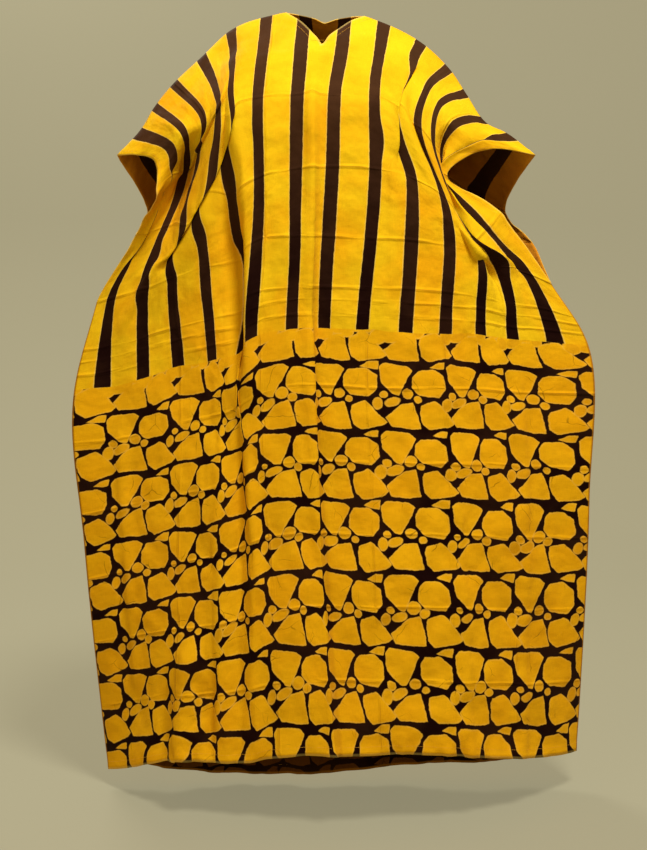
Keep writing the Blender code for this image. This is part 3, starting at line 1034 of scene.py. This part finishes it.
# Where the cloth was folded flat before it was worn: across it, and down it.
PRESSED_ACROSS = (0.205, 0.335, 0.470, 0.563, 0.588, 0.613, 0.745, 0.885, 1.020, 1.160, 1.300)
PRESSED_DOWN = (-0.345, -0.098, 0.128, 0.270, 0.405)
ALONG_A_FOLD, ACROSS_FOLDS = 9.0, 60.0
PRESS_BEND_NOISE = (7.0, 2.0)
PRESS_BEND = 0.008
PRESS_WIDTH = 0.006
PRESS_BREAKS = (0.35, 0.6)
PRESS_STAIN = (0.0011, 0.0003)
STAIN_BREAKS = (0.50, 0.60)
# The centre fold's crest leans across the cut, and shade is painted on the cloth beside it.
CENTRE_TOP = (-0.0055, 0.12)
CENTRE_LEAN = 0.0223
CENTRE_EDGE = (0.0, 0.0008)
CENTRE_FADE = (0.020, 0.011)
CENTRE_START = (0.05, 0.45)


def press_marks():
    """Faint lines where folds were pressed, broken along their length, their stains, and painted shade
    beside the centre fold.
    """
    graph, inlet = new_group("Press Marks", ("Height", "Stain", "Fold"))
    place = inlet["Place"]
    bend = graph.wander(place, *PRESS_BEND_NOISE)
    across, down = graph.split(graph.shifted(place, bend, PRESS_BEND))
    heights, stains = [], []
    for at, lines, scale in ((down, PRESSED_ACROSS, (ALONG_A_FOLD, ACROSS_FOLDS)),
                             (across, PRESSED_DOWN, (ACROSS_FOLDS, ALONG_A_FOLD))):
        offs = [graph.math("ABSOLUTE", graph.math("SUBTRACT", at, line)) for line in lines]
        off = graph.together("MINIMUM", offs)
        broken = graph.noise(place, scale, 2.0)
        line = graph.step(off, PRESS_WIDTH, 0.0)
        heights.append(graph.times(line, graph.step(broken, *PRESS_BREAKS)))
        line = graph.step(off, *PRESS_STAIN)
        stains.append(graph.times(line, graph.step(broken, *STAIN_BREAKS)))
    across, down = graph.split(place)
    drop = graph.math("SUBTRACT", down, CENTRE_TOP[1])
    crest = graph.math("MULTIPLY_ADD", drop, CENTRE_LEAN, CENTRE_TOP[0])
    beside = graph.math("SUBTRACT", across, crest)
    # Painted shade in a band beside the centre fold's crest.
    painted_light = graph.times(graph.step(beside, *CENTRE_EDGE), graph.step(beside, *CENTRE_FADE))
    return graph.put_out(Height=graph.math("MAXIMUM", *heights),
                         Stain=graph.math("MAXIMUM", *stains),
                         Fold=graph.times(painted_light, graph.step(drop, *CENTRE_START)))


# How much of its colour each effect gives the cloth, from 0 to 1.
BORDER_SHARE = 0.75
DULL_SHARE = 0.25
RIM_SHARES = (0.45, 0.14)
SMUDGE_SHARE = 0.35
CRACKLE_SHARE = 0.55
STAIN_SHARE = 0.6
# Painted shade beside the centre fold's crest.
CENTRE_SHADE_SHARE = 0.38
# Painted shade: how dark the reverse turns towards the hem.
PAINTED_HEM_SHADE_SHARE = 0.8
SEAM_SHARE = 0.8
# Painted highlight along the turned edges' folds.
PAINTED_EDGE_HIGHLIGHT_SHARE = 0.3
SLUB_SHARE = 0.10
# Between which tones, distances down and slubs an effect grows, and its shares there.
DEEP_TONES = (0.35, 0.68)
# Where the painted shade on the reverse grows towards the hem.
PAINTED_HEM_SHADE = (1.38, 1.50, 0.0, PAINTED_HEM_SHADE_SHARE)
FADED = (0.62, 0.05, 0.0, 0.75)
UNEVEN = (0.40, 0.62, 0.0, 0.25)
# Where the painted highlight along the turned edges' folds shows.
PAINTED_EDGE_HIGHLIGHT = (0.3, 0.7, 0.0, PAINTED_EDGE_HIGHLIGHT_SHARE)
SLUBBY = (0.3, 0.7, 0.0, SLUB_SHARE)
ROUGHNESS = (0.2, 0.8, 0.72, 0.88)
COTTON_SHINE = {"Specular IOR Level": 0.03, "Sheen Weight": 0.015,
                "Sheen Tint": (1, 0.8, 0.5, 1), "Sheen Roughness": 0.45}
# The strength and the distance of each bump.
PRESS_BUMP = (0.7, 0.0020)
CRUMPLE_BUMP = (0.8, 0.014)
WEAVE_BUMP = (0.35, 0.0002)
SLUB_BUMP = (0.4, 0.0005)
BLACK = (0, 0, 0, 1)
FACE = ("bright", "deep", "dark", "warm", "pale_and_highlight", "brown")
# The reverse's colours paint shade on the robe's insides.
REVERSE = ("reverse", "shaded_reverse_deep", "dark", "shaded_reverse_deep", "reverse", "brown")


def cotton_material(name, groups, colours, reverse=False):
    """Printed cotton. The reverse takes darker, more orange colours than the face, which paint shade on
    the robe's insides.
    """
    material, graph, shader = new_material(name)
    cut = graph.node("ShaderNodeUVMap", uv_map="cut").outputs["UV"]
    printed, dye, weave, crumple, press = (graph.group(tree, cut) for tree in groups)
    bright, deep, dark, warm, pale_and_highlight, brown = (
        (*getattr(colours, field), 1) for field in (REVERSE if reverse else FACE)
    )
    down = graph.split(cut)[1]
    rim = graph.step(printed["Border"], 0.0, 1.0, *RIM_SHARES)
    effects = [
        (graph.step(dye["Tone"], *DEEP_TONES), deep),
        (graph.times(printed["Border"], BORDER_SHARE), deep),
        (graph.times(printed["Dull"], DULL_SHARE), warm),
        (graph.times(printed["Halo"], rim), pale_and_highlight),
        (graph.times(dye["Smudge"], SMUDGE_SHARE), warm),
        (graph.times(dye["Crackle"], CRACKLE_SHARE), dark),
        (graph.times(press["Stain"], STAIN_SHARE), warm),
    ]
    # The reverse gets painted shade, in the dark colour, towards the hem.
    if reverse:
        effects.append((graph.step(down, *PAINTED_HEM_SHADE), dark))
    # The face gets painted shade, in the warm colour, beside the centre fold's crest.
    else:
        effects.append((graph.times(press["Fold"], CENTRE_SHADE_SHARE), warm))
    ground = bright
    for share, effect in effects:
        ground = graph.mix(share, ground, effect)
    faded = graph.math("ADD", graph.step(down, *FADED), graph.step(dye["Tone"], *UNEVEN))
    ink = graph.mix(faded, dark, brown)
    # Painted highlight: the pale rim colour along the turned edges' folds.
    painted_light = graph.node("ShaderNodeAttribute", attribute_name="rubbed_edge").outputs["Fac"]
    colour = ground
    for share, effect in (
        (printed["Ink"], ink),
        (graph.times(printed["Side Seam"], SEAM_SHARE), warm),
        (graph.step(painted_light, *PAINTED_EDGE_HIGHLIGHT), pale_and_highlight),
        (graph.step(weave["Slub"], *SLUBBY), BLACK),
    ):
        colour = graph.mix(share, colour, effect)
    graph.feed(shader.inputs["Base Color"], colour)
    graph.feed(shader.inputs["Roughness"], graph.step(weave["Slub"], *ROUGHNESS))
    for socket, value in COTTON_SHINE.items():
        shader.inputs[socket].default_value = value
    normal = None
    for (strength, distance), height in (
        (PRESS_BUMP, press["Height"]), (CRUMPLE_BUMP, crumple["Height"]),
        (WEAVE_BUMP, weave["Height"]), (SLUB_BUMP, weave["Slub"]),
    ):
        feeds = {"Strength": strength, "Distance": distance, "Height": height}
        if normal:
            feeds["Normal"] = normal
        normal = graph.node("ShaderNodeBump", feeds).outputs["Normal"]
    graph.feed(shader.inputs["Normal"], normal)
    return material


THREAD_NOISE = (400.0, 2.0)
THREAD_ROUGHNESS = 0.6


def thread_material(colours):
    material, graph, shader = new_material("sewing_thread")
    place = graph.node("ShaderNodeTexCoord").outputs["Object"]
    mottle = graph.noise(place, *THREAD_NOISE)
    colour = graph.mix(mottle, (*colours.thread, 1), (*colours.deep, 1))
    graph.feed(shader.inputs["Base Color"], colour)
    shader.inputs["Roughness"].default_value = THREAD_ROUGHNESS
    return material


PAINT_SHARE = 0.3
DARKER_PAINT = 0.97
PAINT_NOISE = (3.0, 3.0)
GLOW_SHARE = 0.60
PAINT_SHINE = {"Roughness": 0.9, "Specular IOR Level": 0.1}


def wall_material(colour):
    material, graph, shader = new_material("studio_wall")
    place = graph.node("ShaderNodeTexCoord").outputs["Object"]
    paint = tuple(PAINT_SHARE * one for one in colour)
    darker = tuple(DARKER_PAINT * one for one in paint)
    painted = graph.mix(graph.noise(place, *PAINT_NOISE), (*paint, 1), (*darker, 1))
    graph.feed(shader.inputs["Base Color"], painted)
    shader.inputs["Emission Color"].default_value = (*colour, 1)
    shader.inputs["Emission Strength"].default_value = GLOW_SHARE
    for socket, value in PAINT_SHINE.items():
        shader.inputs[socket].default_value = value
    return material


# ---------------------------------------------------------------- stitches

STITCH_SIDES = 5
STITCH_STEPS = 4
STITCH_SWAY = 0.12
STITCH_SIZES = {"Pitch": 0.0036, "Length": 0.0027, "Thickness": 0.0005}
STITCH_SEED = 4
BEND_SHARES = {"Start": -0.5, "Start Handle": -0.25, "End Handle": 0.25, "End": 0.5}


def stitch_tree(material):
    """Short tubes laid end to end along a path, each a little turned."""
    tree = bpy.data.node_groups.new("Running Stitches", "GeometryNodeTree")
    interface = tree.interface
    for way in ("INPUT", "OUTPUT"):
        interface.new_socket("Geometry", in_out=way, socket_type="NodeSocketGeometry")
    for label, value in STITCH_SIZES.items():
        socket = interface.new_socket(label, in_out="INPUT", socket_type="NodeSocketFloat")
        socket.default_value = value
        socket.subtype = "DISTANCE"
    seed = interface.new_socket("Seed", in_out="INPUT", socket_type="NodeSocketInt")
    seed.default_value = STITCH_SEED
    graph = Graph(tree)
    inlet = graph.node("NodeGroupInput").outputs

    path = graph.node("GeometryNodeMeshToCurve", {"Mesh": inlet["Geometry"]})
    feeds = {"Curve": path.outputs["Curve"], "Length": inlet["Pitch"]}
    spaced = graph.node("GeometryNodeResampleCurve", feeds, mode="LENGTH")
    tangent = graph.node("GeometryNodeInputTangent")
    feeds = {"Vector": tangent.outputs["Tangent"]}
    facing = graph.node("FunctionNodeAlignRotationToVector", feeds, axis="X")
    feeds = {0: (0, -STITCH_SWAY, -STITCH_SWAY), 1: (0, STITCH_SWAY, STITCH_SWAY),
             "Seed": inlet["Seed"]}
    sway = graph.node("FunctionNodeRandomValue", feeds, data_type="FLOAT_VECTOR")
    feeds = {"Rotation": facing.outputs["Rotation"], "Rotate By": sway.outputs[0]}
    turned = graph.node("FunctionNodeRotateRotation", feeds, rotation_space="LOCAL")

    feeds = {socket: graph.combine(graph.times(inlet["Length"], share), 0.0)
             for socket, share in BEND_SHARES.items()}
    feeds["Resolution"] = STITCH_STEPS
    line = graph.node("GeometryNodeCurvePrimitiveBezierSegment", feeds, mode="POSITION")
    feeds = {"Resolution": STITCH_SIDES, "Radius": graph.times(inlet["Thickness"], 0.5)}
    ring = graph.node("GeometryNodeCurvePrimitiveCircle", feeds, mode="RADIUS")
    feeds = {"Curve": line.outputs["Curve"], "Profile Curve": ring.outputs["Curve"],
             "Fill Caps": True}
    tube = graph.node("GeometryNodeCurveToMesh", feeds)
    feeds = {"Points": spaced.outputs["Curve"], "Instance": tube.outputs["Mesh"],
             "Rotation": turned.outputs["Rotation"]}
    laid = graph.node("GeometryNodeInstanceOnPoints", feeds)
    real = graph.node("GeometryNodeRealizeInstances", {"Geometry": laid.outputs["Instances"]})
    feeds = {"Geometry": real.outputs["Geometry"], "Material": material}
    thread = graph.node("GeometryNodeSetMaterial", feeds)
    return graph.put_out(Geometry=thread.outputs["Geometry"])


def stitch_lines(panel):
    """Lines of vertices one column or row in from each turned edge."""
    left, right = (panel_grid(panel)[2][hand] for hand in (-1, 1))
    rows = panel_rows(panel.neck_drop)
    last_open = int(np.searchsorted(rows, ARMHOLE_DROP - SMALL_STEP))
    return (
        np.concatenate([left[-2, ::-1], right[-2, 1:]]),
        left[1:last_open, -2],
        right[1:last_open, -2],
        np.concatenate([left[:NECK_ROWS, 1], right[:NECK_ROWS, 1][::-1]]),
    )


def stitch_piece(panel, cloth, tree, sizes):
    """Rows of stitches on the cloth's outer face."""
    points = vertex_places(cloth.data)
    path_points, edges = [], []
    for line in stitch_lines(panel):
        first = len(path_points)
        path_points += [tuple(points[i]) for i in line]
        edges += [(first + i, first + i + 1) for i in range(len(line) - 1)]
    piece = new_mesh_object(panel.node.replace("_panel", "_stitches"), path_points, [], edges)
    stitching = piece.modifiers.new("stitches", "NODES")
    stitching.node_group = tree
    values = {"Pitch": sizes.stitch_pitch, "Length": sizes.stitch_length,
              "Thickness": sizes.thread_thickness, "Seed": sizes.stitch_seed}
    for item in tree.interface.items_tree:
        if item.in_out == "INPUT" and item.name in values:
            stitching[item.identifier] = values[item.name]
    applied(piece)
    return piece


# ---------------------------------------------------------------- properties

def length_field(label, meaning, value):
    return FloatProperty(name=label, description=meaning, default=value, unit="LENGTH")


def power_field(label, meaning, value):
    return FloatProperty(name=label, description=meaning, default=value, unit="POWER")


def colour_field(label, meaning, value):
    return FloatVectorProperty(name=label, description=meaning, default=value,
                               subtype="COLOR", size=3, min=0, max=1)


class BoubouSizes(bpy.types.PropertyGroup):
    thickness: length_field("Cloth thickness", "Thickness of the printed cotton", 0.0006)
    hem_thickness: length_field("Hem thickness", "Thickness of the turned edges", 0.0013)
    stitch_pitch: length_field(
        "Stitch pitch", "Distance from one stitch to the next", STITCH_SIZES["Pitch"])
    stitch_length: length_field(
        "Stitch length", "Length of one stitch", STITCH_SIZES["Length"])
    thread_thickness: length_field(
        "Thread thickness", "Thickness of the sewing thread", STITCH_SIZES["Thickness"])
    stitch_seed: IntProperty(
        name="Stitch seed", description="Seed of the stitches' small turns", default=STITCH_SEED)


class BoubouColours(bpy.types.PropertyGroup):
    bright: colour_field("Bright yellow", "The ground where the dye is thin", (0.82, 0.51, 0.006))
    deep: colour_field("Deep yellow", "The ground where the dye is full", (0.80, 0.375, 0.003))
    # Warm orange also paints the shade beside the centre fold's crest.
    warm: colour_field("Warm orange", "Edges and spots of the print", (0.45, 0.17, 0.006))
    # The pale rim colour also paints a highlight along the turned edges' folds.
    pale_and_highlight: colour_field("Pale rim", "The rim where the wax kept the dye off", (0.84, 0.60, 0.16))
    # The dark colour also paints shade on the reverse towards the hem.
    dark: colour_field("Dark dye", "The print's darkest brown", (0.0085, 0.0014, 0.0008))
    brown: colour_field("Brown dye", "The print where the dark dye is thin", (0.060, 0.024, 0.008))
    # The reverse colours are darker and more orange than the face's: painted shade for the robe's insides.
    reverse: colour_field("Reverse", "The ground on the cloth's reverse", (0.68, 0.27, 0.012))
    shaded_reverse_deep: colour_field("Reverse, deep", "Darker places on the reverse", (0.50, 0.16, 0.009))
    thread: colour_field("Thread", "The sewing thread", (0.72, 0.36, 0.02))
    wall: colour_field("Floor and wall", "The stage's paint", (0.43, 0.395, 0.25))


class BoubouStage(bpy.types.PropertyGroup):
    key_power: power_field("Key light", "Power of the light high on the right", 192.0)
    fill_power: power_field("Fill light", "Power of the low light on the left", 14.0)
    back_power: power_field("Back light", "Power of the light behind the robe", 90.0)
    world_strength: FloatProperty(
        name="Surround", description="Strength of the even light all round", default=0.42)
    camera_distance: length_field(
        "Camera distance", "Distance from the origin to the camera", 2.6)


# ---------------------------------------------------------------- operators

class BOUBOU_OT_cloth(bpy.types.Operator):
    """Cuts, sews and settles the front and back panels"""

    bl_idname = "boubou.cloth"
    bl_label = "Robe Cloth"

    def execute(self, context):
        colours = context.scene.boubou_colours
        groups = (cotton_print(stone_repeat()), dye_variation(), plain_weave(),
                  cotton_crumple(), press_marks())
        face = cotton_material("printed_cotton_face", groups, colours)
        reverse = cotton_material("printed_cotton_reverse", groups, colours, reverse=True)
        for panel, grid, points in settled_panels():
            cloth = panel_piece(panel, grid, points, context.scene.boubou_sizes, face, reverse)
            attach(cloth, BODY)
            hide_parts(panel.node)
        return {"FINISHED"}


class BOUBOU_OT_stitches(bpy.types.Operator):
    """Stitches the hem, the armholes and the neck of both panels"""

    bl_idname = "boubou.stitches"
    bl_label = "Stitches"

    def execute(self, context):
        tree = stitch_tree(thread_material(context.scene.boubou_colours))
        for panel in panels():
            cloth = bpy.data.objects[panel.node + "_cloth"]
            stitches = stitch_piece(panel, cloth, tree, context.scene.boubou_sizes)
            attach(stitches, BODY)
        return {"FINISHED"}


CAMERA_HEIGHT = -0.41
CAMERA_ASIDE = -0.0028
CAMERA_PITCH = math.radians(82)
PICTURE_HEIGHT = 850
FOCAL_PIXELS = 1344
SENSOR_HEIGHT = 24
FAR_CLIP = 50
SURROUND_TINT = (1, 0.70, 0.44)
Lamp = namedtuple("Lamp", "size place aim")
LAMPS = {
    "key": Lamp(0.9, (0.8, -1.8, 2.8), (0, 0, -0.6)),
    "fill": Lamp(2.4, (-2.2, -2.6, 0.2), (0, 0, -0.9)),
    "back": Lamp(1.6, (-1.5, 2.4, 1.9), (0, 0, -0.6)),
}
Floor = namedtuple("Floor", "height half_width front back top bend steps")
FLOOR = Floor(height=-1.535, half_width=6.0, front=-5.0, back=3.0, top=4.0, bend=1.2, steps=13)


def area_light(name, power, lamp):
    light = bpy.data.lights.new(name, "AREA")
    light.shape = "DISK"
    light.size = lamp.size
    light.energy = power
    made = bpy.data.objects.new(name, light)
    made.location = lamp.place
    way = Vector(lamp.aim) - Vector(lamp.place)
    made.rotation_euler = way.to_track_quat("-Z", "Y").to_euler()
    bpy.context.scene.collection.objects.link(made)


def studio_floor(colour):
    """A floor that curves up into a wall well behind the robe."""
    profile = [(FLOOR.front, FLOOR.height)]
    for turn in np.linspace(0, math.pi / 2, FLOOR.steps):
        profile.append((FLOOR.back - FLOOR.bend + FLOOR.bend * math.sin(turn),
                        FLOOR.height + FLOOR.bend - FLOOR.bend * math.cos(turn)))
    profile.append((FLOOR.back, FLOOR.top))
    sides = (-FLOOR.half_width, FLOOR.half_width)
    points = [(x, y, z) for y, z in profile for x in sides]
    faces = [(2 * i, 2 * i + 1, 2 * i + 3, 2 * i + 2) for i in range(len(profile) - 1)]
    floor = new_mesh_object("studio_floor", points, faces)
    floor.data.shade_smooth()
    floor.data.materials.append(wall_material(colour))
    return floor


def studio_surround(light, wall):
    """An even light all round, which the camera sees in the wall's colour."""
    world = bpy.data.worlds.new("studio_surround")
    world.use_nodes = True
    graph = Graph(world.node_tree)
    seen = graph.node("ShaderNodeLightPath").outputs["Is Camera Ray"]
    background = world.node_tree.nodes["Background"]
    graph.feed(background.inputs["Color"], graph.mix(seen, (*light, 1), (*wall, 1)))
    return world


def front_camera(distance):
    lens = bpy.data.cameras.new("front_camera")
    lens.sensor_fit = "VERTICAL"
    lens.sensor_height = SENSOR_HEIGHT
    lens.lens = FOCAL_PIXELS / PICTURE_HEIGHT * SENSOR_HEIGHT
    lens.clip_end = FAR_CLIP
    camera = bpy.data.objects.new("front_camera", lens)
    camera.location = (CAMERA_ASIDE, -distance, CAMERA_HEIGHT)
    camera.rotation_euler = (CAMERA_PITCH, 0, 0)
    bpy.context.scene.collection.objects.link(camera)
    return camera


class BOUBOU_OT_stage(bpy.types.Operator):
    """Makes the floor, the lights, the surround and the camera"""

    bl_idname = "boubou.stage"
    bl_label = "Stage"

    def execute(self, context):
        scene = context.scene
        stage = scene.boubou_stage
        wall = tuple(scene.boubou_colours.wall)
        studio_floor(wall)
        for name, lamp in LAMPS.items():
            area_light(name + "_light", getattr(stage, name + "_power"), lamp)
        light = tuple(stage.world_strength * one for one in SURROUND_TINT)
        scene.world = studio_surround(light, wall)
        scene.view_settings.view_transform = "Standard"
        scene.camera = front_camera(stage.camera_distance)
        return {"FINISHED"}


class BOUBOU_PT_panel(bpy.types.Panel):
    """The robe's sizes, colours and pieces"""

    bl_idname = "BOUBOU_PT_panel"
    bl_label = "Grand Boubou Robe"
    bl_space_type = "VIEW_3D"
    bl_region_type = "UI"
    bl_category = "Boubou"

    def draw(self, context):
        for title, group, operators in (
            ("Cloth", context.scene.boubou_sizes, (BOUBOU_OT_cloth, BOUBOU_OT_stitches)),
            ("Colours", context.scene.boubou_colours, ()),
            ("Stage", context.scene.boubou_stage, (BOUBOU_OT_stage,)),
        ):
            box = self.layout.box()
            box.label(text=title)
            for field in group.__annotations__:
                box.prop(group, field)
            for operator in operators:
                box.operator(operator.bl_idname)


CLASSES = (BoubouSizes, BoubouColours, BoubouStage, BOUBOU_OT_cloth, BOUBOU_OT_stitches,
           BOUBOU_OT_stage, BOUBOU_PT_panel)


def register():
    for one in CLASSES:
        bpy.utils.register_class(one)
    bpy.types.Scene.boubou_sizes = PointerProperty(type=BoubouSizes)
    bpy.types.Scene.boubou_colours = PointerProperty(type=BoubouColours)
    bpy.types.Scene.boubou_stage = PointerProperty(type=BoubouStage)


def unregister():
    for name in ("boubou_sizes", "boubou_colours", "boubou_stage"):
        delattr(bpy.types.Scene, name)
    for one in reversed(CLASSES):
        bpy.utils.unregister_class(one)


def main():
    register()
    bpy.ops.boubou.cloth()
    bpy.ops.boubou.stitches()
    bpy.ops.boubou.stage()


if __name__ == "__main__":
    main()
